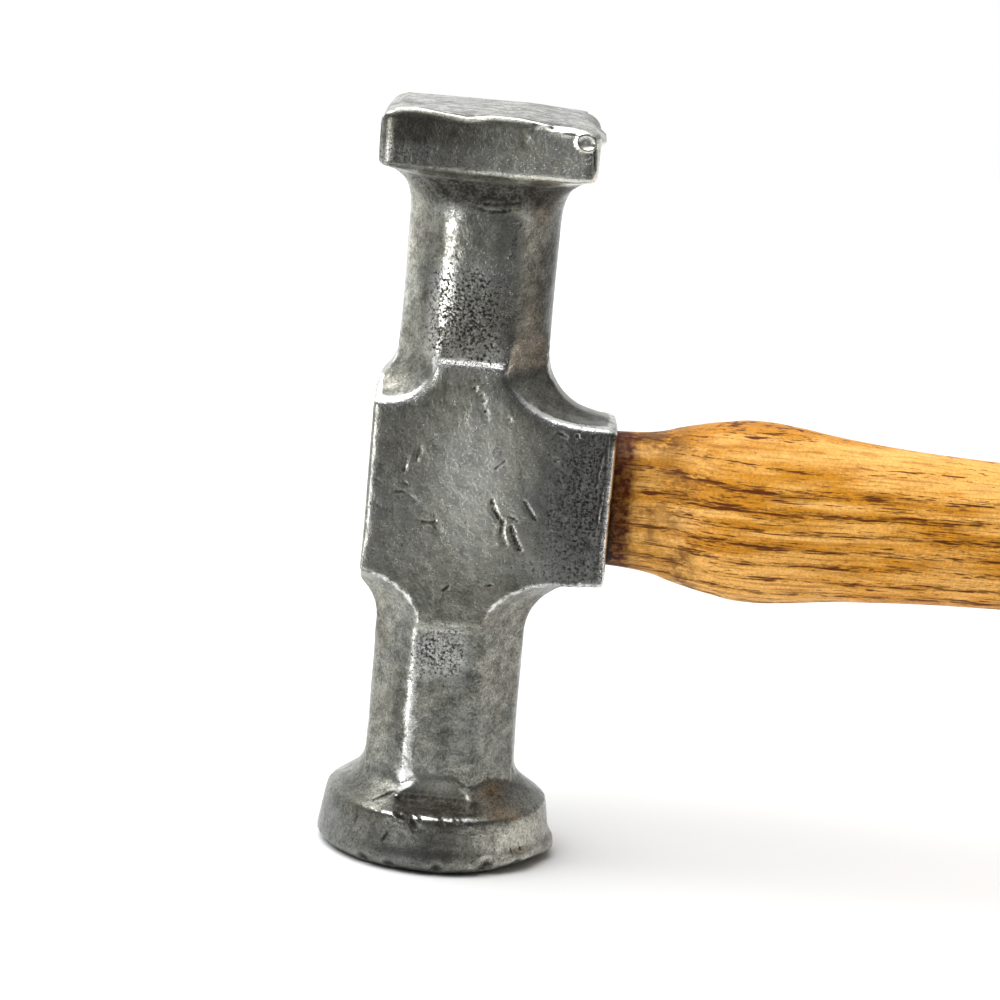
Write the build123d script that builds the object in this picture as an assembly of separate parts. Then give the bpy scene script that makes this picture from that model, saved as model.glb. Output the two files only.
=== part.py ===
from build123d import *
import os
from math import cos, pi, radians, sin, sqrt, tan

# Double-faced bumping hammer: a forged steel head with one round and one square face, on a
# hickory handle that is held in the head's eye by one wooden and two steel wedges.
#
# Millimetres. The origin is the centre of the round striking face. +Z runs along the head's axis
# to the square face, +X runs along the handle to its butt, and Y runs across the two cheeks.

# The head as a whole
head_length = 110.8  # from face to face
neck_half = 10.9  # centre to flat of the eight-sided necks
neck_flat_half = 5.2  # half the width of the flat on each main side of a neck
eye_z = 55.5  # height of the eye block's middle

# The eye block
cheek_half = 11.5  # centre to cheek
block_front = 21.8  # reach of the block towards the handle
block_back = 13.6  # reach of the block away from the handle
block_end_half = 11.7  # half the block's height where the handle leaves it
ledge_slope = 15.0  # degrees, of the ledges between the block's end and the necks
ledge_fillet = 8.0
corner_slope = 4.0  # degrees, of the same ledges seen across a corner of the neck
corner_reach = 12.5  # half the block's height where a corner ledge would meet the neck
corner_fillet = 8.0
cheek_top_half = 19.2  # half the cheek's height, where it steps down to a neck
cheek_step_round = 0.6
block_edge_round = 1.0

# The round poll
round_radius = 17.45  # at the striking edge
round_back_radius = 16.4  # where the rim meets the sloping shoulder
round_rim = 8.3  # height of the rim
round_shoulder_slope = 36.3  # degrees
round_shoulder_fillet = 4.7
round_neck_radius = 11.1  # where the shoulder runs out on the neck
round_rim_round = 0.5
round_flat_radius = 14.0  # the flat middle of the face
round_crown = 0.35  # how far the face falls away outside that flat
round_edge = 1.1  # height of the worn edge above the crown

# The square poll
square_half = 15.55
square_rim = 8.2  # height of the rim
square_shoulder_rise = 2.0  # from the end of the neck to the flange
square_shoulder_fillet = 6.0
square_corner_reach = 20.4  # how far out the same shoulder runs towards a corner
square_corner_round = 1.8
square_edge_round = 0.7

# The eye: an oval hole, narrowest inside the head and wider at both mouths
eye_height = 19.4
eye_width = 13.0
eye_waist_x = 6.0
eye_front_flare = 0.6  # added to height and width at the handle's side
eye_back_flare = 1.4  # added to height and width where the wedges go in

# The handle: its length, its slight droop, and its oval sections as
# (x, half height, half thickness)
handle_end = 311.0
handle_droop = 0.5  # degrees
shoulder_drop = 0.5  # the shaft's axis sits this far under the eye's
section_points = 16
oval_power = 2.25  # 2 would be an ellipse, and more is squarer
handle_sections = [
    (block_front, 9.95, 6.75),
    (27.5, 10.4, 6.9),
    (31.5, 11.4, 7.5),
    (37.0, 12.9, 9.0),
    (43.5, 13.4, 9.7),
    (50.0, 12.75, 9.7),
    (58.0, 11.9, 9.4),
    (68.0, 11.15, 9.0),
    (82.0, 10.7, 8.6),
    (105.0, 9.9, 8.0),
    (135.0, 9.5, 7.7),
    (170.0, 10.5, 8.4),
    (210.0, 12.7, 9.9),
    (250.0, 14.3, 11.0),
    (285.0, 14.8, 11.3),
    (300.0, 14.4, 11.0),
    (307.0, 13.0, 9.8),
    (handle_end, 10.2, 7.2),
]

# The wedges and the saw kerf they are driven into
tenon_recess = 0.4  # the tenon ends this far inside the head
kerf_width = 0.9
kerf_depth = 24.0
wood_wedge_length = 19.0
wood_wedge_thickness = 3.4
steel_wedge_length = 12.5
steel_wedge_thickness = 2.2
steel_wedge_width = 9.6
steel_wedge_tip = 0.3
steel_wedge_spacing = 9.4  # between the two steel wedges

corner_distance = (neck_half + neck_flat_half) / sqrt(2)  # centre to each slanting flat of a neck
tenon_end = -block_back + tenon_recess


def head_outline(neck, ledge, outer, ledge_radius, square_reach):
    """One side of an outline of the shank, from inside the round poll to inside the square one.

    neck is the shank's half width, ledge the height over the eye's middle where the ledge's line
    meets the neck's, outer the ledge's outer end measured the same way, and square_reach how far
    out the shoulder runs under the square poll.
    """
    upper = [(neck, eye_z + ledge), (outer[0], eye_z + outer[1])]
    lower = [(x, 2 * eye_z - z) for x, z in upper]
    shoulder_top = head_length - square_rim
    points = [
        (0, 2.0),
        (neck, 2.0),
        *lower,
        *reversed(upper),
        (neck, shoulder_top - square_shoulder_rise),
        (square_reach, shoulder_top),
        (square_reach, head_length - 2.0),
        (0, head_length - 2.0),
    ]
    sharp = 0.0
    radii = [
        sharp,
        sharp,
        ledge_radius,
        block_edge_round,
        block_edge_round,
        ledge_radius,
        square_shoulder_fillet,
        sharp,
        sharp,
        sharp,
    ]
    return points, radii


def rounded_line(points, radii):
    """A closed line through the points, with each corner rounded by its own radius."""
    places = [Vector(*point) for point in points]
    starts, ends = [], []
    for i, here in enumerate(places):
        before, after = places[i - 1], places[(i + 1) % len(places)]
        to_before, to_after = (before - here).normalized(), (after - here).normalized()
        half_angle = radians(to_before.get_angle(to_after)) / 2
        tangent = radii[i] / tan(half_angle)
        starts.append(here + to_before * tangent)
        ends.append(here + to_after * tangent)
        if radii[i]:
            inward = (to_before + to_after).normalized()
            middle = here + inward * (radii[i] / sin(half_angle) - radii[i])
            ThreePointArc(starts[i], middle, ends[i])
    for i in range(len(places)):
        Line(ends[i - 1], starts[i])


def prism(points, radii, turn):
    """The outline and its mirror image, drawn in a plane through the head's axis that is turned
    by turn degrees from XZ, and drawn out both ways from that plane."""
    with BuildPart() as made:
        with BuildSketch(Plane.XZ.rotated((0, 0, turn))):
            with BuildLine():
                rounded_line(points, radii)
            make_face()
            mirror(about=Plane.YZ)
        extrude(amount=40, both=True)
    return made.part


def shank():
    """The necks and the eye block: outlines from the front, the side and both corners, crossed
    with each other."""
    ledge = block_end_half + (block_front - neck_half) * tan(radians(ledge_slope))
    reach = square_half - 0.3
    front = prism(
        *head_outline(neck_half, ledge, (block_front, block_end_half), ledge_fillet, reach),
        turn=0,
    )
    step = cheek_half - neck_half
    side = prism(
        *head_outline(
            neck_half,
            cheek_top_half + step,
            (cheek_half, cheek_top_half),
            cheek_step_round,
            reach,
        ),
        turn=90,
    )
    corner_out = 30.0
    drop = (corner_out - corner_distance) * tan(radians(corner_slope))
    corners = [
        prism(
            *head_outline(
                corner_distance,
                corner_reach,
                (corner_out, corner_reach - drop),
                corner_fillet,
                square_corner_reach,
            ),
            turn=turn,
        )
        for turn in (45, -45)
    ]
    whole = front & side & corners[0] & corners[1]
    behind = Pos(-block_back - 20, 0, eye_z) * Box(40, 60, 60)
    return whole - behind


def round_poll():
    """The round flange with its crowned face, and its shoulder that sweeps up to the neck."""
    rise = (round_back_radius - round_neck_radius) * tan(radians(round_shoulder_slope))
    points = [
        (0, 0),
        (round_flat_radius, 0),
        (round_radius - round_edge, round_crown),
        (round_radius, round_crown + round_edge),
        (round_back_radius, round_rim),
        (round_neck_radius, round_rim + rise),
        (round_neck_radius, round_rim + rise + 6.0),
        (0, round_rim + rise + 6.0),
    ]
    radii = [0, 0, 0, 0, round_rim_round, round_shoulder_fillet, 0, 0]
    with BuildPart() as made:
        with BuildSketch(Plane.XZ):
            with BuildLine():
                rounded_line(points, radii)
            make_face()
        revolve(axis=Axis.Z)
    return made.part


def square_poll():
    """The square flange, with rounded corners and edges."""
    with BuildPart() as made:
        with Locations((0, 0, head_length - square_rim / 2)):
            Box(2 * square_half, 2 * square_half, square_rim)
        fillet(made.edges().filter_by(Axis.Z), radius=square_corner_round)
        fillet(made.faces().sort_by(Axis.Z)[-1].edges(), radius=square_edge_round)
        fillet(made.faces().sort_by(Axis.Z)[0].edges(), radius=square_edge_round)
    return made.part


def oval(x, z, height, width):
    """An upright oval, flat-sided and round-ended, across the handle's direction at x."""
    return Plane(origin=(x, 0, z), x_dir=(0, 0, 1), z_dir=(1, 0, 0)) * SlotOverall(height, width)


def eye(past_end=0.0):
    """The eye's hollow from mouth to mouth, run past both mouths by past_end."""
    back_x = -block_back - past_end
    front_x = block_front + past_end
    sections = [
        oval(back_x, eye_z, eye_height + eye_back_flare, eye_width + eye_back_flare),
        oval(eye_waist_x, eye_z, eye_height, eye_width),
        oval(front_x, eye_z, eye_height + eye_front_flare, eye_width + eye_front_flare),
    ]
    return loft(sections[:2], ruled=True) + loft(sections[1:], ruled=True)


def head():
    return shank() + round_poll() + square_poll() - eye()


def wood_wedge_blank():
    """A long thin wedge, thickest where it is driven in, that spreads the tenon sideways."""
    with BuildPart() as made:
        with BuildSketch(Plane.XY.offset(eye_z)):
            with BuildLine():
                Polyline(
                    (tenon_end, -wood_wedge_thickness / 2),
                    (tenon_end + wood_wedge_length, -kerf_width / 2),
                    (tenon_end + wood_wedge_length, kerf_width / 2),
                    (tenon_end, wood_wedge_thickness / 2),
                    close=True,
                )
            make_face()
        extrude(amount=eye_height, both=True)
    return made.part


def kerf():
    """The saw cut across the tenon's height."""
    middle = tenon_end + kerf_depth / 2
    return Pos(middle, 0, eye_z) * Box(kerf_depth, kerf_width, 2 * eye_height)


def steel_wedge(side):
    """A short steel wedge driven across the wooden one; side is 1 for the upper, -1 the lower."""
    middle = eye_z + side * steel_wedge_spacing / 2
    with BuildPart() as made:
        with BuildSketch(Plane.XZ):
            with BuildLine():
                Polyline(
                    (tenon_end, middle - steel_wedge_thickness / 2),
                    (tenon_end + steel_wedge_length, middle - steel_wedge_tip / 2),
                    (tenon_end + steel_wedge_length, middle + steel_wedge_tip / 2),
                    (tenon_end, middle + steel_wedge_thickness / 2),
                    close=True,
                )
            make_face()
        extrude(amount=steel_wedge_width / 2, both=True)
    return made.part


def shaft_section(x, z, half_height, half_thickness):
    """A smooth oval across the shaft, a little fuller at its corners than an ellipse."""
    with BuildSketch(Plane(origin=(x, 0, z), x_dir=(0, 0, 1), z_dir=(1, 0, 0))) as made:
        with BuildLine():
            points = []
            for i in range(section_points):
                turn = 2 * pi * i / section_points
                across, up = cos(turn), sin(turn)
                full = (abs(across) ** oval_power + abs(up) ** oval_power) ** (-1 / oval_power)
                points.append((half_height * across * full, half_thickness * up * full))
            Spline(*points, periodic=True)
        make_face()
    return made.sketch


def shaft():
    """The handle outside the head, lofted through its ovals."""
    sections = []
    for x, half_height, half_thickness in handle_sections:
        droop = (x - block_front) * tan(radians(handle_droop))
        z = eye_z - shoulder_drop - droop
        sections.append(shaft_section(x, z, half_height, half_thickness))
    return loft(sections)


def tenon():
    """The handle inside the eye, which it fills."""
    past = Pos(-block_back - 20 + tenon_recess, 0, eye_z) * Box(40, 60, 60)
    return eye() - past


def main():
    upper_steel = steel_wedge(1)
    lower_steel = steel_wedge(-1)
    wood_wedge = (wood_wedge_blank() & tenon()) - upper_steel - lower_steel
    handle = shaft() + tenon() - wood_wedge_blank() - kerf() - upper_steel - lower_steel
    parts = {
        "head": head(),
        "handle": handle,
        "wood_wedge": wood_wedge,
        "steel_wedge_upper": upper_steel,
        "steel_wedge_lower": lower_steel,
    }
    os.makedirs("parts", exist_ok=True)
    for name, shape in parts.items():
        export_step(shape, f"parts/{name}.step")


main()
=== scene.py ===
import math
import bmesh
import bpy
import numpy as np
from mathutils import Matrix, Vector


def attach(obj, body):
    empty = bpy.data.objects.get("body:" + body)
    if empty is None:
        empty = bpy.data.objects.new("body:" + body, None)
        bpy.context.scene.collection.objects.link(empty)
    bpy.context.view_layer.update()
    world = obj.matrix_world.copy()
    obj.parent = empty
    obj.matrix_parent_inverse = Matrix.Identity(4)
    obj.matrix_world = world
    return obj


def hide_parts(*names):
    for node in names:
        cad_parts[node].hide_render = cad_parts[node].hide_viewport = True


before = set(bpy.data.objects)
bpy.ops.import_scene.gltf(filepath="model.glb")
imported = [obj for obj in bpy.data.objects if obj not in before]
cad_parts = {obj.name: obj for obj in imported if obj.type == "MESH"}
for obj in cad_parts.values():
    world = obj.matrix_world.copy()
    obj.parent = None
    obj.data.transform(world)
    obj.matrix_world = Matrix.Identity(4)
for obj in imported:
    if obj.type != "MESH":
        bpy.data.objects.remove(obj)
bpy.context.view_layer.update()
scene = bpy.context.scene
mm = 0.001
print("frame loaded:", sorted(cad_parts))

camera = {
    "place": (8.9, -515.8, 161.5),  # mm, on the near side of the head
    "lookDown": 11.86,  # degrees
    "turn": -0.36,
    "lean": 5.07,
    "lens": 128.8,
    "sensor": 36.0,
}


def makeCamera():
    turn, down, lean = (math.radians(camera[key]) for key in ("turn", "lookDown", "lean"))
    ahead = Vector((
        math.sin(turn) * math.cos(down),
        math.cos(turn) * math.cos(down),
        -math.sin(down),
    ))
    level = Vector((math.cos(turn), -math.sin(turn), 0))
    upright = level.cross(ahead)
    right = math.cos(lean) * level + math.sin(lean) * upright
    up = math.cos(lean) * upright - math.sin(lean) * level
    lens = bpy.data.cameras.new("camera")
    lens.lens, lens.sensor_width, lens.sensor_fit = camera["lens"], camera["sensor"], "HORIZONTAL"
    lens.clip_start, lens.clip_end = 0.01, 20
    made = bpy.data.objects.new("camera", lens)
    made.matrix_world = Matrix.Translation(Vector(camera["place"]) * mm) @ Matrix((
        (right.x, up.x, -ahead.x, 0),
        (right.y, up.y, -ahead.y, 0),
        (right.z, up.z, -ahead.z, 0),
        (0, 0, 0, 1),
    ))
    scene.collection.objects.link(made)
    scene.camera = made


makeCamera()
print("camera placed")


# Node helpers, for shader trees and geometry trees alike
def addNode(tree, kind, **fields):
    made = tree.nodes.new(kind)
    for field, value in fields.items():
        setattr(made, field, value)
    return made


def feed(tree, socket, value):
    if isinstance(value, bpy.types.NodeSocket):
        tree.links.new(value, socket)
    elif value is not None:
        socket.default_value = value


def calc(tree, operation, *values, clamp=False):
    made = addNode(tree, "ShaderNodeMath", operation=operation, use_clamp=clamp)
    for socket, value in zip(made.inputs, values):
        feed(tree, socket, value)
    return made.outputs[0]


def calcVector(tree, operation, *values, result="Vector"):
    made = addNode(tree, "ShaderNodeVectorMath", operation=operation)
    for socket, value in zip(made.inputs, values):
        feed(tree, socket, value)
    return made.outputs[result]


def scaled(tree, vector, by):
    made = addNode(tree, "ShaderNodeVectorMath", operation="SCALE")
    feed(tree, made.inputs[0], vector)
    feed(tree, made.inputs["Scale"], by)
    return made.outputs[0]


def stretch(tree, vector, by):
    return calcVector(tree, "MULTIPLY", vector, by)


def noiseOf(tree, vector, scale, detail=3.0, roughness=0.5, output=0):
    made = addNode(tree, "ShaderNodeTexNoise")
    feed(tree, made.inputs["Vector"], vector)
    made.inputs["Scale"].default_value = scale
    made.inputs["Detail"].default_value = detail
    made.inputs["Roughness"].default_value = roughness
    return made.outputs[output]


def ramp(tree, value, low, high, start=0.0, end=1.0, smooth=True):
    made = addNode(tree, "ShaderNodeMapRange")
    made.interpolation_type = "SMOOTHSTEP" if smooth else "LINEAR"
    for name, given in zip(("From Min", "From Max", "To Min", "To Max"), (low, high, start, end)):
        feed(tree, made.inputs[name], given)
    feed(tree, made.inputs["Value"], value)
    return made.outputs["Result"]


def mixColor(tree, amount, first, second):
    made = addNode(tree, "ShaderNodeMix", data_type="RGBA")
    for index, value in ((0, amount), (6, first), (7, second)):
        feed(tree, made.inputs[index], value)
    return made.outputs[2]


def newMaterial(name):
    made = bpy.data.materials.new(name)
    made.use_nodes = True
    shader = made.node_tree.nodes["Principled BSDF"]
    coords = addNode(made.node_tree, "ShaderNodeTexCoord").outputs["Object"]
    return made, made.node_tree, shader, coords


def bumpInto(tree, shader, height, strength, distance):
    bump = addNode(tree, "ShaderNodeBump")
    bump.inputs["Strength"].default_value = strength
    bump.inputs["Distance"].default_value = distance
    feed(tree, bump.inputs["Height"], height)
    feed(tree, shader.inputs["Normal"], bump.outputs["Normal"])


# Mesh helpers
def newPiece(name, mesh):
    made = bpy.data.objects.new(name, mesh)
    scene.collection.objects.link(made)
    return made


def settle(piece):
    # turns the piece and its modifiers into one plain mesh
    bpy.context.view_layer.update()
    seen = piece.evaluated_get(bpy.context.evaluated_depsgraph_get())
    mesh = bpy.data.meshes.new_from_object(seen)
    piece.modifiers.clear()
    piece.data = mesh
    return mesh


def cadCopy(node, name):
    # the CAD node's loose triangles, merged into one closed skin
    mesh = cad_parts[node].data.copy()
    work = bmesh.new()
    work.from_mesh(mesh)
    bmesh.ops.remove_doubles(work, verts=work.verts, dist=1e-6)
    work.to_mesh(mesh)
    work.free()
    mesh.materials.clear()
    return newPiece(name, mesh)


def pointsOf(mesh):
    flat = np.empty(len(mesh.vertices) * 3)
    mesh.vertices.foreach_get("co", flat)
    return flat.reshape(-1, 3)


def normalsOf(mesh):
    flat = np.empty(len(mesh.vertices) * 3, dtype=np.float32)
    mesh.vertex_normals.foreach_get("vector", flat)
    return flat.reshape(-1, 3).astype(float)


def edgesOf(mesh):
    flat = np.empty(len(mesh.edges) * 2, dtype=np.int32)
    mesh.edges.foreach_get("vertices", flat)
    return flat.reshape(-1, 2)


def writePoints(mesh, points):
    mesh.vertices.foreach_set("co", points.astype(np.float32).ravel())
    mesh.update()


def neighbourMean(values, edges, count):
    total = np.zeros_like(values)
    np.add.at(total, edges[:, 0], values[edges[:, 1]])
    np.add.at(total, edges[:, 1], values[edges[:, 0]])
    return total / (count[:, None] if values.ndim > 1 else count)


def neighbourCount(edges, size):
    return np.maximum(np.bincount(edges.ravel(), minlength=size), 1)


def relax(points, edges, rounds):
    # evens out the surface without shrinking it
    count = neighbourCount(edges, len(points))
    for amount in (0.5, -0.52) * rounds:
        points = points + amount * (neighbourMean(points, edges, count) - points)
    return points


def spread(values, edges, rounds):
    # each value becomes its neighbours' mean, again and again
    count = neighbourCount(edges, len(values))
    for _ in range(rounds):
        values = neighbourMean(values, edges, count)
    return values


def bending(points, normals, edges):
    # how sharply the skin bends at each point, per mm: outwards above nought, inwards below it
    first, second = edges.T
    run = points[second] - points[first]
    turn = normals[second] - normals[first]
    bend = np.einsum("ij,ij->i", turn, run) / np.maximum(np.einsum("ij,ij->i", run, run), 1e-9)
    size = len(points)
    total = np.bincount(first, bend, size) + np.bincount(second, bend, size)
    return total / neighbourCount(edges, size)


def splitEdges(mesh, wanted):
    # halves the edges whose two ends are both wanted
    work = bmesh.new()
    work.from_mesh(mesh)
    work.verts.ensure_lookup_table()
    chosen = [edge for edge in work.edges if all(wanted[vert.index] for vert in edge.verts)]
    bmesh.ops.subdivide_edges(work, edges=chosen, cuts=1, use_grid_fill=True)
    work.to_mesh(mesh)
    work.free()


def ease(value, low, high):
    # climbs smoothly from 0 at low to 1 at high
    part = np.clip((value - low) / (high - low), 0, 1)
    return part * part * (3 - 2 * part)


def span(value, start, full, ebb, end):
    # climbs from start to full, and falls back from ebb to end
    return ease(value, start, full) * (1 - ease(value, ebb, end))


def bell(value, middle, reach, power=2):
    # 1 at the middle, and less on both sides of it
    return np.exp(-np.abs((value - middle) / reach) ** power)


def storeFloat(mesh, name, values):
    layer = mesh.attributes.new(name, "FLOAT", "POINT")
    layer.data.foreach_set("value", values.astype(np.float32))


# Geometry Nodes helpers
def newGeometryTree(name, values):
    # a tree with one input for each named value, and one for the material
    tree = bpy.data.node_groups.new(name, "GeometryNodeTree")
    tree.interface.new_socket("Geometry", in_out="INPUT", socket_type="NodeSocketGeometry")
    for label, value in values.items():
        kind = "Int" if isinstance(value, int) else "Float"
        socket = tree.interface.new_socket(label, in_out="INPUT", socket_type=f"NodeSocket{kind}")
        socket.default_value = value
    tree.interface.new_socket("Material", in_out="INPUT", socket_type="NodeSocketMaterial")
    tree.interface.new_socket("Geometry", in_out="OUTPUT", socket_type="NodeSocketGeometry")
    source = addNode(tree, "NodeGroupInput")
    return tree, source.outputs


def closeTree(tree, geometry, material):
    # every tree ends in Realize Instances and Set Material
    realized = addNode(tree, "GeometryNodeRealizeInstances")
    painted = addNode(tree, "GeometryNodeSetMaterial")
    end = addNode(tree, "NodeGroupOutput")
    tree.links.new(geometry, realized.inputs[0])
    tree.links.new(realized.outputs[0], painted.inputs["Geometry"])
    tree.links.new(material, painted.inputs["Material"])
    tree.links.new(painted.outputs[0], end.inputs[0])


def runTree(piece, tree, values, material):
    modifier = piece.modifiers.new(tree.name, "NODES")
    modifier.node_group = tree
    given = {**values, "Material": material}
    for item in tree.interface.items_tree:
        if item.in_out == "INPUT" and item.name in given:
            modifier[item.identifier] = given[item.name]
    return settle(piece)


def shadeSmooth(mesh):
    mesh.polygons.foreach_set("use_smooth", [True] * len(mesh.polygons))
    mesh.update()


# Forged steel
steelLook = {
    "dark": (0.105, 0.105, 0.089, 1),
    "light": (0.37, 0.37, 0.325, 1),
    "brown": (0.23, 0.205, 0.165, 1),
    "blue": (0.19, 0.20, 0.205, 1),
    "worn": (0.86, 0.86, 0.84, 1),
    "pit": (0.014, 0.013, 0.012, 1),
    "dirtAndShade": (0.018, 0.015, 0.010, 1),
    "brightest": (0.72, 0.72, 0.67),  # the skin's, where it isn't rubbed bare
    # how fine each pattern is, per metre
    "stains": 85,
    "clouds": 260,
    "blotches": 520,
    "grain": 2300,
    "pits": 2500,
    "flecks": 5200,
}


def attributeOf(tree, name):
    return addNode(tree, "ShaderNodeAttribute", attribute_name=name).outputs["Fac"]


def makeSteel():
    made, tree, shader, coords = newMaterial("wornForgedSteel")
    stains = noiseOf(tree, coords, steelLook["stains"], detail=3, roughness=0.55)
    blotches = noiseOf(tree, coords, steelLook["blotches"], detail=5, roughness=0.7)
    grain = noiseOf(tree, coords, steelLook["grain"], detail=4, roughness=0.7)
    mottling = calc(tree, "ADD", calc(tree, "MULTIPLY", blotches, 0.5), calc(tree, "MULTIPLY", grain, 0.5))
    tone = mixColor(tree, ramp(tree, mottling, 0.35, 0.64), steelLook["dark"], steelLook["light"])
    clouds = noiseOf(tree, coords, steelLook["clouds"], detail=5, roughness=0.7)
    tone = scaled(tree, tone, ramp(tree, clouds, 0.34, 0.66, 0.86, 1.16, smooth=False))
    flecks = noiseOf(tree, coords, steelLook["flecks"], detail=2, roughness=0.6)
    tone = scaled(tree, tone, ramp(tree, flecks, 0.36, 0.64, 0.70, 1.30, smooth=False))
    tone = mixColor(tree, ramp(tree, stains, 0.46, 0.62, 0, 0.20), tone, steelLook["brown"])
    tone = mixColor(tree, ramp(tree, stains, 0.40, 0.52, 0.3, 0), tone, steelLook["blue"])

    # the skin is darker and lighter in places, by patina and by painted light and shade: at 0.5 it stays as
    # it is, at 1 it is four times as light
    patinaAndLight = calc(tree, "POWER", 16, calc(tree, "SUBTRACT", attributeOf(tree, "patinaAndLight"), 0.5))
    tone = calcVector(tree, "MINIMUM", scaled(tree, tone, patinaAndLight), steelLook["brightest"])

    # pits lie thickest in rusted patches on the near faces of both necks, with bright ridges between
    patch = attributeOf(tree, "pitting")
    pitNoise = noiseOf(tree, coords, steelLook["pits"], detail=3, roughness=0.7)
    threshold = ramp(tree, patch, 0, 1, 0.70, 0.49, smooth=False)
    pits = ramp(tree, calc(tree, "SUBTRACT", pitNoise, threshold), -0.01, 0.07)
    ridges = ramp(tree, calc(tree, "SUBTRACT", threshold, pitNoise), 0.03, 0.12)
    ridges = calc(tree, "MULTIPLY", ridges, ramp(tree, patch, 0.2, 0.9, 0, 0.75))
    tone = mixColor(tree, ridges, tone, steelLook["worn"])
    tone = mixColor(tree, calc(tree, "MULTIPLY", pits, 0.95), tone, steelLook["pit"])

    # dirt stays in the hollows; the same dark colour paints shade under the square poll's flange and at the
    # lower neck's foot
    dirtAndShade = calc(tree, "MULTIPLY", attributeOf(tree, "dirtAndShade"), ramp(tree, mottling, 0.35, 0.60, 1.15, 0.75))
    tone = mixColor(tree, dirtAndShade, tone, steelLook["dirtAndShade"])

    # bare bright metal, with ragged edges, where it is rubbed, and painted highlights where the light
    # catches
    polishAndHighlight = calc(tree, "ADD", attributeOf(tree, "edgeWearAndHighlights"), calc(tree, "MULTIPLY", blotches, 0.8))
    polishAndHighlight = calc(tree, "ADD", polishAndHighlight, calc(tree, "MULTIPLY", grain, 0.5))
    polishAndHighlight = ramp(tree, polishAndHighlight, 0.88, 1.28)
    polishAndHighlight = calc(tree, "MULTIPLY", polishAndHighlight, calc(tree, "SUBTRACT", 1, pits))
    tone = mixColor(tree, calc(tree, "MULTIPLY", polishAndHighlight, 0.92), tone, steelLook["worn"])
    feed(tree, shader.inputs["Base Color"], tone)
    bare = calc(tree, "SUBTRACT", 1, calc(tree, "MULTIPLY", dirtAndShade, 0.9), clamp=True)
    feed(tree, shader.inputs["Metallic"], bare)
    shader.inputs["Specular IOR Level"].default_value = 0.2
    rough = ramp(tree, mottling, 0.38, 0.62, 0.37, 0.27)
    rough = calc(tree, "ADD", rough, calc(tree, "MULTIPLY", pits, 0.25))
    rough = calc(tree, "ADD", rough, calc(tree, "MULTIPLY", dirtAndShade, 0.3))
    rough = calc(tree, "SUBTRACT", rough, calc(tree, "MULTIPLY", polishAndHighlight, 0.08), clamp=True)
    feed(tree, shader.inputs["Roughness"], rough)
    height = calc(tree, "ADD", calc(tree, "MULTIPLY", grain, 0.28), calc(tree, "MULTIPLY", blotches, 0.6))
    height = calc(tree, "SUBTRACT", height, calc(tree, "MULTIPLY", pits, 0.8))
    # the square face is smoother than the rest
    parts = addNode(tree, "ShaderNodeSeparateXYZ")
    feed(tree, parts.inputs[0], coords)
    height = calc(tree, "MULTIPLY", height, ramp(tree, parts.outputs["Z"], 0.1093, 0.1102, 1, 0.25))
    bumpInto(tree, shader, height, 0.5, 0.0003)
    return made


forgedSteel = makeSteel()

headShape = {
    "voxel": 0.52,  # mm, like all that follows, and half that along edges and marks
    "softening": 4,
    "sharpBend": 0.22,  # per mm
    "cheek": -11.5,  # y of the near cheek
    "eyeHeight": 55.5,
    # heights between which use has rounded the corners, and in how many rounds
    "upperNeck": ((77.5, 81, 99.5, 101), 60),
    "lowerNeck": ((15.5, 18, 30, 33), 20),
    "eyeBlock": ((44, 50, 73, 74), 9),
}

# What use has done to the head, mm and degrees
headWear = {
    # x and rise of the square face's near edge
    "edgeLine": ((-15.2, -0.5), (-12.7, 0.3), (-10.8, 0.45), (-7.5, 0.1), (-3.5, -0.35), (0.0, 0.15),
                 (4.0, 0.1), (8.5, -0.5), (11.5, -0.5), (14.5, -0.9)),
    "sideEdges": (((-13.7, 108.7), 1.8, -1), ((13.4, 108.2), 2.3, 1)),  # x and z, radius, facing
    "fallRight": 0.65,
    "fallAtCorner": 0.4,
    "fallBehind": 0.45,
    "lip": 0.8,
    "curl": (13.5, 109.0),  # x and z
    "curlRadius": 1.35,
    "farLedgeDrop": 1.5,
    "nearLedgeRise": 1.3,
    "mushroom": ((-6, 15, 0.75), (-38, 10, 0.40), (-100, 30, 0.18)),  # direction, reach and swell
    "rimLift": 0.7,
}

# Marks cut into the near cheek: points as x and z, then width and depth, mm
cheekMarks = (
    (((4.5, 55.4), (5.0, 53.9), (6.2, 52.3)), 0.42, 0.34),
    (((6.4, 52.5), (6.3, 50.6), (7.0, 48.9)), 0.44, 0.36),
    (((7.6, 51.8), (8.1, 50.3), (9.1, 48.5)), 0.46, 0.36),
    (((9.3, 55.5), (10.0, 54.4), (10.9, 53.2)), 0.38, 0.28),
    (((7.2, 53.2), (8.4, 52.7)), 0.32, 0.18),
    (((-6.5, 62.5), (-6.8, 60.0)), 0.24, 0.16),
    (((-8.2, 60.5), (-8.5, 58.3)), 0.24, 0.14),
    (((-8.6, 57.2), (-7.7, 56.4)), 0.26, 0.14),
    (((-9.4, 55.5), (-8.2, 55.5)), 0.24, 0.12),
    (((-7.4, 55.0), (-6.3, 54.2)), 0.28, 0.16),
    (((-12.5, 57.1), (-11.6, 56.4)), 0.24, 0.12),
    (((-5.3, 51.4), (-3.0, 51.3)), 0.22, 0.12),
    (((-3.6, 52.7), (-3.2, 50.4)), 0.22, 0.12),
    (((4.6, 60.0), (6.0, 61.4)), 0.26, 0.14),
    (((13.2, 66.1), (14.4, 65.6)), 0.34, 0.30),
    (((19.9, 64.4), (19.2, 58.6)), 0.30, 0.16),
    (((20.3, 58.9), (19.7, 51.6)), 0.30, 0.16),
    (((20.4, 66.0), (20.5, 60.4)), 0.28, 0.14),
    (((4.6, 42.6), (5.6, 42.9)), 0.30, 0.20),
    (((-1.4, 41.4), (-0.6, 42.2)), 0.30, 0.16),
)

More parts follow.
